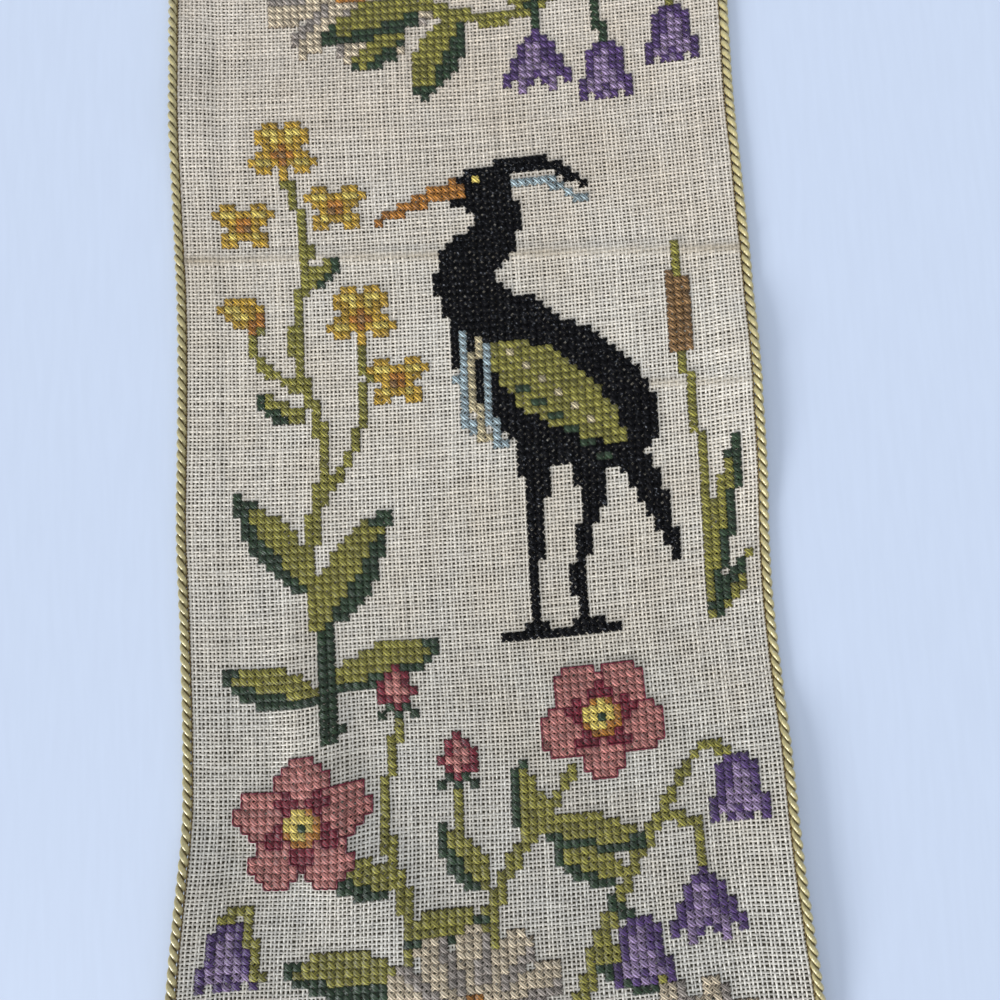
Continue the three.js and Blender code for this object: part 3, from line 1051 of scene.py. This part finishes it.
class Chart:
    """Cells of the picture, each with the letter of its cotton, and the petals to outline."""

    def __init__(self, across, up):
        self.across, self.up = across, up
        self.cells, self.petals = {}, {}

    def put(self, x, y, letter, petal=None):
        cell = (math.floor(x), math.floor(y))
        if 1 <= cell[0] < self.across - 1 and 1 <= cell[1] < self.up - 1:
            self.cells[cell] = letter
            self.petals[cell] = petal

    def disc(self, x, y, wide, high, turn, letter, petal=None):
        """Fills an oval whose long axis is turned by an angle in degrees."""
        for i, j, along, aside in cells_near(x, y, max(wide, high), turn):
            if (along / wide) ** 2 + (aside / high) ** 2 <= 1:
                self.put(i, j, letter, petal)

    def line(self, points, letter, first=0.9, last=0.9):
        """A curved line whose width runs evenly from first to last."""
        path = soft_line(points)
        for n, (x, y) in enumerate(path):
            width = first + (last - first) * n / (len(path) - 1)
            if width <= 1:
                self.put(x, y, letter)
            else:
                self.disc(x, y, width / 2, width / 2, 0, letter)

    def leaf(self, x, y, turn, length, width, light="O", dark="G"):
        """A leaf from its stalk, light on its upper side and dark below and at the tip."""
        upside = 1 if math.cos(math.radians(turn)) >= 0 else -1
        for i, j, along, aside in cells_near(x, y, length, turn):
            share = along / length
            if not 0 <= share <= 1:
                continue
            half = width / 2 * math.sin(math.pi * share**0.8) ** 0.75
            if abs(aside) <= half:
                lit = upside * aside > -0.12 * width and share < 0.84
                self.put(i, j, light if lit else dark)

    def leaves(self, *leaves):
        """Several leaves, each with its stalk's place, turn, length and width."""
        for leaf in leaves:
            self.leaf(*leaf)

    def rosette(self, x, y, size, start, name, petals=5):
        """A wild rose seen from the front, each petal kept apart for its outline."""
        for k in range(petals):
            turn = start + 360 * k / petals
            self.disc(*off_from(x, y, 0.56 * size, turn), 0.47 * size, 0.4 * size, turn, "P", f"{name}{k}")
        for k in range(petals):
            turn = start + 360 * (k + 0.5) / petals
            place = off_from(x, y, 0.36 * size, turn)
            self.disc(*place, 0.25 * size, 0.15 * size, turn, "R", f"{name}heart")
        self.disc(x, y, 0.3 * size, 0.3 * size, 0, "U", f"{name}eye")
        self.disc(x - 0.3, y + 0.4, 0.25 * size, 0.22 * size, 0, "L", f"{name}eye")
        self.put(x, y, "G", f"{name}eye")

    def daisy(self, x, y, size, petals, start):
        """A field daisy: ecru petals, each with a grey side, round a yellow eye."""
        for k in range(petals):
            turn = start + 360 * k / petals
            self.disc(*off_from(x, y, 0.62 * size, turn), 0.42 * size, 0.17 * size, turn, "E")
            turn -= 10
            self.disc(*off_from(x, y, 0.66 * size, turn), 0.32 * size, 0.07 * size, turn, "F")
        self.disc(x, y, 0.29 * size, 0.27 * size, 0, "U")
        self.disc(x - 0.3, y + 0.6, 0.24 * size, 0.2 * size, 0, "L")

    def motif(self, x, y, rows, flip=False):
        """Places a small charted motif by its lower left cell."""
        for up, row in enumerate(reversed(rows.split())):
            for across, letter in enumerate(reversed(row) if flip else row):
                if letter != ".":
                    self.put(x + across, y + up, letter)


BELL = """
..VVV..
.VVWVV.
.VWWVV.
.VWWVV.
.VWWWV.
VWWWWVV
VWWVWWV
V.VWV.V
"""

OPEN_BELL = """
....V....
...VVV...
..VWWVV..
..VWWVV..
.VVWWVVV.
.VWWWWVV.
VVWWVWWVV
V.WV.VW.V
..W...W..
"""

BUD = """
..R..
.RPR.
.RPPR
RPPPR
.RPRR
.GRG.
G.G.G
"""

BLOSSOM = """
..YY.YY..
.YLLYLLY.
.YYLYLYY.
..YYUYY..
.YYUTUYY.
YLLYUYLLY
.YY.Y.YY.
....Y....
"""

SMALL_BLOSSOM = """
.YY..YY.
YLLYYLLY
.YYUUYY.
..YTUY..
.YLYYLY.
.YY..YY.
"""

SIDE_BLOSSOM = """
.YYYY.
YLLYYY
.YLLYU
..YYUU
....UO
"""


def wading_bird(chart, x, y):
    """A black wading bird, its feet at x, y, with an olive wing and pale plumes."""
    chart.disc(x + 3.5, y + 32, 14.5, 8.6, -38, "K")
    chart.disc(x - 2, y + 37, 9, 7.4, -58, "K")
    neck = [(x - 3, y + 40), (x - 7, y + 45), (x - 7.6, y + 49.5), (x - 3.6, y + 53.5), (x - 3, y + 57.5)]
    chart.line(neck, "K", 10, 4.6)
    chart.line([(x - 2.2, y + 56), (x - 3.2, y + 59), (x - 5.5, y + 60.4)], "K", 4.6, 4.4)
    chart.disc(x - 5, y + 60.3, 4.3, 3, 12, "K")
    chart.line([(x - 8.5, y + 60.3), (x - 13.5, y + 59), (x - 18.5, y + 56.6)], "U", 2.6, 0.9)
    chart.line([(x - 2.2, y + 62.4), (x + 3.4, y + 62.9), (x + 8.8, y + 59.6)], "K", 2.4, 0.9)
    chart.line([(x - 1, y + 60.6), (x + 4.2, y + 60.2), (x + 8, y + 57)], "B")
    chart.put(x - 6, y + 61, "L")
    for k in range(5):
        chart.line([(x + 9 + k, y + 28 - 2 * k), (x + 15.5 + 0.6 * k, y + 19 - 2.6 * k)], "K", 3, 1)
    for k, letter in enumerate("BNB"):
        root, bend = (x - 8.2 + 1.5 * k, y + 40 - k), (x - 9 + 1.6 * k, y + 34 - k)
        chart.line([root, bend, (x - 7.6 + 1.8 * k, y + 27 - k)], letter)
    chart.line([(x + 0.5, y + 28), (x + 0.3, y + 19)], "K", 7, 2.6)
    chart.line([(x + 0.3, y + 20), (x - 0.4, y + 10), (x - 0.8, y + 1)], "K", 2.4, 1.3)
    chart.line([(x + 6.8, y + 27), (x + 7.6, y + 17)], "K", 6.5, 2.6)
    chart.line([(x + 7.6, y + 18), (x + 5.4, y + 9), (x + 5.6, y + 1)], "K", 2.4, 1.3)
    for foot in (x - 1, x + 5.4):
        chart.line([(foot - 4, y + 0.5), (foot + 3.6, y + 0.5)], "K")
        chart.line([(foot - 1, y + 1.5), (foot + 1.6, y + 1.5)], "K")
    chart.leaf(x - 4.5, y + 38.5, -41, 22, 8.4, "O", "O")
    for k in range(6):
        chart.put(x - 3 + 2 * k, y + 37 - 2 * k, "N")
        chart.put(x - 2 + 2 * k, y + 32 - 2 * k, "G")
        chart.put(x - 1 + 2 * k, y + 32 - 2 * k, "G")


def primrose_spray(chart):
    """Tall yellow flowers up the left side."""
    chart.line([(17, 66), (15.5, 78), (17.5, 92), (14, 106), (16, 120), (13, 131)], "O", 1.9, 0.9)
    chart.line([(16, 84), (21, 92), (23, 101), (22, 108)], "O", 1.2, 0.9)
    chart.line([(15, 100), (9.5, 104), (8, 110)], "O")
    chart.line([(17.4, 56), (17, 66), (16.4, 73)], "G", 2.4, 1.2)
    chart.motif(9, 129, BLOSSOM)
    chart.motif(16, 122, SMALL_BLOSSOM)
    chart.motif(4, 120, SMALL_BLOSSOM, flip=True)
    chart.motif(18, 106, BLOSSOM)
    chart.motif(4, 108, SIDE_BLOSSOM)
    chart.motif(23, 98, SMALL_BLOSSOM)
    chart.leaf(15.5, 114, 40, 6, 2.6, "O", "G")
    chart.leaf(15, 96, 150, 7, 2.8, "O", "G")
    chart.leaves((16, 69, 58, 18, 6.4), (16, 74, 128, 16, 5.6))
    chart.leaves((17.5, 62, 16, 15, 5.4), (16, 61, 166, 13, 5))


def reeds(chart):
    """A bulrush and its blades at the right."""
    chart.line([(65, 66), (65.5, 84), (63.5, 102)], "O")
    chart.line([(63.6, 102), (63.2, 111)], "T", 2.8, 2.6)
    chart.line([(63.2, 111), (63, 115)], "O")
    chart.leaf(65, 67, 78, 23, 3.2)
    chart.leaf(66, 66, 60, 9, 3, "G", "O")


def top_garland(chart):
    """Daisies and bellflowers across the top."""
    chart.daisy(23, 157, 12, 11, 8)
    chart.line([(33, 153), (42, 150), (52, 153), (61, 151)], "O", 1.9, 0.9)
    chart.leaves((33, 153, 196, 15, 6), (37, 151, 246, 13, 6), (45, 151, 62, 12, 5.6), (30, 149, 216, 9, 4))
    chart.motif(43, 139, OPEN_BELL)
    chart.motif(53, 137, BELL)
    chart.motif(62, 141, BELL, flip=True)
    chart.line([(47.5, 151), (47.5, 148)], "G")
    chart.line([(55, 152), (56.5, 145)], "G")
    chart.line([(60, 151), (65, 154), (65.5, 149)], "O")
    chart.daisy(50, 165, 9, 10, 20)


def foot_posy(chart):
    """Roses, buds, bellflowers and daisies at the foot."""
    chart.line([(26, 20), (26.5, 33), (23.5, 45), (25.5, 57)], "O", 1.9, 0.9)
    chart.line([(38, 22), (36.5, 34), (43, 44), (47, 50)], "O", 2.2, 1.2)
    chart.line([(37, 34), (33, 42), (32.5, 48)], "O", 1.2, 0.9)
    chart.line([(45, 20), (51, 33), (57, 43), (62.5, 50.5), (65.6, 49)], "O", 1.9, 0.9)
    chart.line([(57.5, 43), (61, 41), (61.5, 36)], "O")
    chart.line([(50.5, 33), (52, 31)], "G")
    chart.leaves((25, 37, 158, 11, 4.6), (26, 31, 8, 10, 4.6), (26, 26, 172, 15, 6), (36, 36, 128, 10, 4.4))
    chart.leaves((42, 43, -14, 14, 5.4), (41, 42, 96, 9, 4), (52, 36, 158, 9, 4), (48, 27, -28, 10, 4.6))
    chart.rosette(13.5, 45.5, 8.2, 90, "first")
    chart.rosette(50.5, 55.5, 7.6, 54, "second")
    chart.motif(30, 48, BUD)
    chart.motif(23, 57, BUD, flip=True)
    chart.motif(57, 27, OPEN_BELL)
    chart.motif(50, 23, BELL)
    chart.motif(63, 41, BELL, flip=True)
    chart.motif(2, 26, BELL)
    chart.line([(9, 27), (7, 35), (4.5, 34)], "O")
    chart.daisy(34, 20.5, 11.5, 12, 0)
    chart.daisy(59, 13.5, 9.5, 11, 10)
    chart.leaf(22, 20, 196, 14, 5.6)
    chart.leaf(46, 12, -40, 10, 4.6)


def picture(weave):
    """The whole counted picture."""
    chart = Chart(weave.warps // 2, weave.wefts // 2)
    primrose_spray(chart)
    wading_bird(chart, 44, 66)
    reeds(chart)
    top_garland(chart)
    foot_posy(chart)
    return chart


# One leg of a cross: share of its length, height in parts of the crossing, width and body in parts
UPPER_LEG = np.array(
    [
        (0, -1.1, 0.5, 0.7),
        (0.09, 0.1, 0.84, 0.95),
        (0.34, 0.85, 1, 1),
        (0.66, 0.85, 1, 1),
        (0.91, 0.1, 0.84, 0.95),
        (1, -1.1, 0.5, 0.7),
    ]
)
LOWER_LEG = np.array([(0, -1.1, 0.6, 0.7), (0.13, 0.2, 0.95, 1), (0.87, 0.2, 0.95, 1), (1, -1.1, 0.6, 0.7)])
# How much the legs of a cotton differ in width and height and its crosses in tone, and the painted light
# that makes every upper leg lighter
LEG_SWELL = 0.1
LEG_RISE = 0.2
LEG_TONE = 0.3
UPPER_LEG_PAINTED_LIGHT = 0.24
# Ends of both legs in threads from the cross's lower left corner, a little past its own four holes
LOWER_ENDS = ((-0.06, -0.06), (2.06, 2.06))
UPPER_ENDS = ((-0.08, 2.08), (2.08, -0.08))
# Two strands side by side, open where they lie on the cloth: across, up, and 1 where it is on top; where it
# is low, shade is painted
LEG_SECTION = np.array(
    [
        (-1, -1.3, 0),
        (-0.94, 0.1, 0.6),
        (-0.5, 0.95, 1),
        (0, 0, 0.15),
        (0.5, 0.95, 1),
        (0.94, 0.1, 0.6),
        (1, -1.3, 0),
    ]
)
# One strand of a small stitch: across, up, and 1 where it is on top; its lower sides take painted shade
STRAND_SECTION = np.array([(-1, -0.6, 0.2), (-0.7, 0.6, 0.8), (0, 1, 1), (0.7, 0.6, 0.8), (1, -0.6, 0.2)])


def cross_stitches(weave, sizes, cells, full, random):
    """The crosses of one cotton: a lower leg that climbs to the right and an upper one that falls."""
    cells = np.array(sorted(cells), float) * 2
    skin = Skin()
    tone = random.uniform(0, 1, len(cells))
    boxes = tiles(2 * len(cells))
    each = (len(cells), 1)
    for n, (leg, start, end) in enumerate(((LOWER_LEG, *LOWER_ENDS), (UPPER_LEG, *UPPER_ENDS))):
        share = leg[None, :, 0, None]
        stray = random.normal(0, 1, (*each, 2)) * sizes.unevenness / weave.pitch
        swell = 1 + LEG_SWELL * np.clip(random.normal(0, 1, each), -2, 2)
        at = cells[:, None, :] + np.array(start) + share * (np.array(end) - np.array(start))
        at = at + stray * np.sin(np.pi * share)
        rise = 1 + LEG_RISE * np.clip(random.normal(0, 1, each), -2, 2)
        height = leg[None, :, 1] * sizes.crossing * rise
        centres = weave.point(at[..., 0], at[..., 1], height)
        half_width = sizes.cover / 2 * full * leg[None, :, 2] * swell
        sides = level_sides(centres) * half_width[..., None]
        ups = np.zeros(centres.shape)
        ups[..., 2] = sizes.body / 2 * leg[None, :, 3] * (2 - swell)
        # crest sets the painted shade at the legs' sunk ends and where the painted glints go
        crest = np.broadcast_to(np.interp(leg[:, 1], [-1.1, 0.7], [0, 1]), height.shape)
        leg_tone = tone + random.uniform(-LEG_TONE, LEG_TONE, len(cells)) + UPPER_LEG_PAINTED_LIGHT * (n - 0.5)
        leg_tone = np.clip(leg_tone, 0, 1)
        skin.add_sweep(centres, sides, ups, LEG_SECTION, leg_tone, False, boxes[n::2], crest)
    return skin


# One back stitch: share of its length, height in parts of the crossing, and width in parts
BACK_STITCH = np.array(
    [(0, -0.9, 0.6), (0.14, 1.1, 0.95), (0.5, 1.35, 1), (0.86, 1.1, 0.95), (1, -0.9, 0.6)]
)
BACK_STITCH_BODY = 0.17 * MM
# Sides of a cell: the neighbour across each, and the two corners that it joins
CELL_SIDES = (
    ((1, 0), (1, 0, 1, 1)),
    ((-1, 0), (0, 0, 0, 1)),
    ((0, 1), (0, 1, 1, 1)),
    ((0, -1), (0, 0, 1, 0)),
)


def outline_stitches(weave, sizes, chart, random):
    """Back stitches round every petal that has its own outline."""
    runs = set()
    for (i, j), petal in chart.petals.items():
        if petal is None:
            continue
        for (di, dj), (x, y, end_x, end_y) in CELL_SIDES:
            if chart.petals.get((i + di, j + dj)) != petal:
                runs.add((i + x, j + y, i + end_x, j + end_y))
    runs = np.array(sorted(runs), float) * 2
    share, height, width = BACK_STITCH.T
    at = runs[:, None, :2] + share[None, :, None] * (runs[:, None, 2:] - runs[:, None, :2])
    centres = weave.point(at[..., 0], at[..., 1], np.broadcast_to(height * sizes.crossing, at.shape[:2]))
    sides = level_sides(centres) * (sizes.outline / 2 * width)[None, :, None]
    ups = upright(centres, BACK_STITCH_BODY)
    skin = Skin()
    skin.add_sweep(centres, sides, ups, STRAND_SECTION, random.uniform(0, 1, len(runs)))
    return skin


# Cords


# Back of one strand of the cord, as angles from its middle, and how round the strand is by itself
STRAND_ANGLES = np.radians([-88, -79, -65, -46, -23, 0, 23, 46, 65, 79, 88])
STRAND_ROUNDNESS = 0.42
# How far the twist runs ahead or lags, as an angle, and how much thinner a strand gets in places
TWIST_SLACK = 0.3
STRAND_THINNING = 0.05


def edge_cord(side, sizes, random):
    """Two soft strands laid round each other along one edge of the cloth."""
    outward = -1 if side == "left" else 1
    steps = round(2 * HALF_LENGTH / sizes.lead * sizes.steps)
    y = np.linspace(-HALF_LENGTH, HALF_LENGTH, steps + 1)
    edge = edge_at(side, y)
    x = edge + outward * (sizes.gap + sizes.radius * sizes.flattened)
    middle = np.stack([x, y, lift(edge, y) + sizes.radius], axis=-1)
    count = sizes.strands
    slack = TWIST_SLACK * drift(random, 1, len(y), 40)[0]
    turn = 2 * np.pi * (y[None, :] / sizes.lead + np.arange(count)[:, None] / count) + slack
    fullness = (1 - STRAND_THINNING * np.abs(drift(random, count, len(y), 120))) * sizes.radius
    out = np.stack([sizes.flattened * np.cos(turn), np.zeros(turn.shape), np.sin(turn)], axis=-1)
    beside = np.stack([sizes.flattened * np.sin(turn), np.zeros(turn.shape), -np.cos(turn)], axis=-1)
    away = np.cos(STRAND_ANGLES) ** STRAND_ROUNDNESS
    # crest sets the painted shade in the crevices between the strands
    crest = np.interp(away, [0.45, 0.8], [0, 1])
    section = np.stack([np.sin(STRAND_ANGLES) * away, np.cos(STRAND_ANGLES) * away, crest], axis=-1)
    centres = np.broadcast_to(middle[None], out.shape)
    sides, ups = beside * fullness[..., None], out * fullness[..., None]
    skin = Skin()
    skin.add_sweep(centres, sides, ups, section, random.uniform(0.3, 0.7, count), True, strips(count))
    return skin


# Operators


def settings():
    """The sizes and colours in the sidebar."""
    scene = bpy.context.scene
    return scene.band_weave, scene.band_stitch, scene.band_cord, scene.band_colours, scene.band_stage


def finish_piece(piece, replaced=None):
    """Ties a piece to the part's frame."""
    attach(piece, "root")
    if replaced:
        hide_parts(replaced)


class BAND_OT_linen(bpy.types.Operator):
    """Makes the linen: its ground, all its threads and the hem stitches"""

    bl_idname = "band.linen"
    bl_label = "Make the linen"

    def execute(self, context):
        sizes, _, _, colours, _ = settings()
        groups = shared_groups()
        random = np.random.default_rng(RANDOM_SEED)
        weave = Weave(sizes)
        ground = linen_ground(weave, ground_materials(colours, groups))
        finish_piece(ground, "linen_cloth")
        # The linen thread's last two values: its painted depth shade and its specks
        thread = yarn_material("linen thread", colours.linen, groups, SPUN_LINEN, (0.62, 0.59, 0.54), 0.3)
        for piece in linen_threads(weave, sizes, thread, random):
            finish_piece(piece)
        finish_piece(hem_stitches(weave, thread, random))
        return {"FINISHED"}


class BAND_OT_picture(bpy.types.Operator):
    """Works the counted crosses, one piece for each cotton"""

    bl_idname = "band.picture"
    bl_label = "Work the cross stitches"

    def execute(self, context):
        weave_sizes, sizes, _, colours, _ = settings()
        groups = shared_groups()
        random = np.random.default_rng(RANDOM_SEED + 1)
        weave = Weave(weave_sizes)
        chart = picture(weave)
        for letter, (name, full) in COTTONS.items():
            cells = [cell for cell, used in chart.cells.items() if used == letter]
            if not cells:
                raise RuntimeError(f"the chart uses no {name} cotton")
            yarn = BLACK_COTTON if name == "black" else STRANDED_COTTON
            material = yarn_material(f"{name} cotton", getattr(colours, name), groups, yarn)
            skin = cross_stitches(weave, sizes, cells, full, random)
            finish_piece(skin.object(f"crosses_{name}", material))
        material = yarn_material("wine cotton", colours.wine, groups, STRANDED_COTTON)
        skin = outline_stitches(weave, sizes, chart, random)
        finish_piece(skin.object("petal_outlines", material))
        return {"FINISHED"}


class BAND_OT_cords(bpy.types.Operator):
    """Lays the twisted cord along both long edges"""

    bl_idname = "band.cords"
    bl_label = "Lay the edge cords"

    def execute(self, context):
        _, _, sizes, colours, _ = settings()
        random = np.random.default_rng(RANDOM_SEED + 2)
        # The cord's last value is the painted shade in the crevices between its strands
        material = yarn_material("satin cord", colours.cord, shared_groups(), SATIN_CORD, (0.3, 0.24, 0.12))
        for side in ("left", "right"):
            cord = edge_cord(side, sizes, random).object(f"laid_cord_{side}", material)
            finish_piece(cord, f"edge_cord_{side}")
        return {"FINISHED"}


class BAND_OT_stage(bpy.types.Operator):
    """Sets the table, the light and the camera"""

    bl_idname = "band.stage"
    bl_label = "Set the stage"

    def execute(self, context):
        _, _, _, _, stage = settings()
        bpy.ops.mesh.primitive_plane_add(size=3.0)
        table = context.object
        table.name = "table_top"
        table.data.materials.append(table_material(stage.table))
        self.window_light(stage)
        world = bpy.data.worlds.new("room")
        world.use_nodes = True
        background = world.node_tree.nodes["Background"]
        background.inputs["Color"].default_value = rgba(stage.fill_tint)
        background.inputs["Strength"].default_value = stage.fill
        context.scene.world = world
        context.scene.view_settings.view_transform = "Standard"
        self.camera(stage)
        return {"FINISHED"}

    def window_light(self, stage):
        """A large soft light, low at the lower left."""
        lamp = bpy.data.lights.new("window_light", "SUN")
        lamp.energy = stage.window
        lamp.angle = stage.window_width
        lamp.color = stage.window_tint
        holder = placed("window_light", lamp)
        level, side = math.cos(stage.window_height), stage.window_side
        place = Vector((-level * math.sin(side), level * math.cos(side), math.sin(stage.window_height)))
        holder.location = place
        holder.rotation_euler = (-place).to_track_quat("-Z", "Y").to_euler()

    def camera(self, stage):
        """A camera that looks down on the band, leant and rolled as in the photograph."""
        back = Vector((0, -math.sin(stage.tilt), math.cos(stage.tilt)))
        right = Vector((1, 0, 0))
        up = back.cross(right)
        c, s = math.cos(stage.roll), math.sin(stage.roll)
        turned_right, turned_up = c * right + s * up, -s * right + c * up
        lens = bpy.data.cameras.new("camera")
        lens.sensor_width = 36.0
        lens.lens = stage.lens
        lens.clip_start = 0.01
        holder = placed("camera", lens)
        turn = Matrix((turned_right, turned_up, back)).transposed().to_4x4()
        place = Vector((stage.aim_x, stage.aim_y, 0)) + back * stage.distance
        holder.matrix_world = Matrix.Translation(place) @ turn
        bpy.context.scene.camera = holder


class BAND_PT_sidebar(bpy.types.Panel):
    """Sizes, colours and steps of the band."""

    bl_label = "Linen band"
    bl_idname = "BAND_PT_sidebar"
    bl_space_type = "VIEW_3D"
    bl_region_type = "UI"
    bl_category = "Linen band"

    def draw(self, context):
        for title, group in zip(("Weave", "Stitches", "Cords", "Colours", "Stage"), settings()):
            box = self.layout.box()
            box.label(text=title)
            for name in group.__annotations__:
                box.prop(group, name)
        for operator in OPERATORS:
            self.layout.operator(operator.bl_idname)


GROUPS = {
    "band_weave": WeaveSizes,
    "band_stitch": StitchSizes,
    "band_cord": CordSizes,
    "band_colours": ThreadColours,
    "band_stage": StageSettings,
}
OPERATORS = (BAND_OT_linen, BAND_OT_picture, BAND_OT_cords, BAND_OT_stage)


def register():
    for group in GROUPS.values():
        bpy.utils.register_class(group)
    for name, group in GROUPS.items():
        setattr(bpy.types.Scene, name, bpy.props.PointerProperty(type=group))
    for operator in OPERATORS:
        bpy.utils.register_class(operator)
    bpy.utils.register_class(BAND_PT_sidebar)


def unregister():
    bpy.utils.unregister_class(BAND_PT_sidebar)
    for operator in reversed(OPERATORS):
        bpy.utils.unregister_class(operator)
    for name in GROUPS:
        delattr(bpy.types.Scene, name)
    for group in reversed(list(GROUPS.values())):
        bpy.utils.unregister_class(group)


def main():
    register()
    bpy.ops.band.linen()
    bpy.ops.band.picture()
    bpy.ops.band.cords()
    bpy.ops.band.stage()


if __name__ == "__main__":
    main()
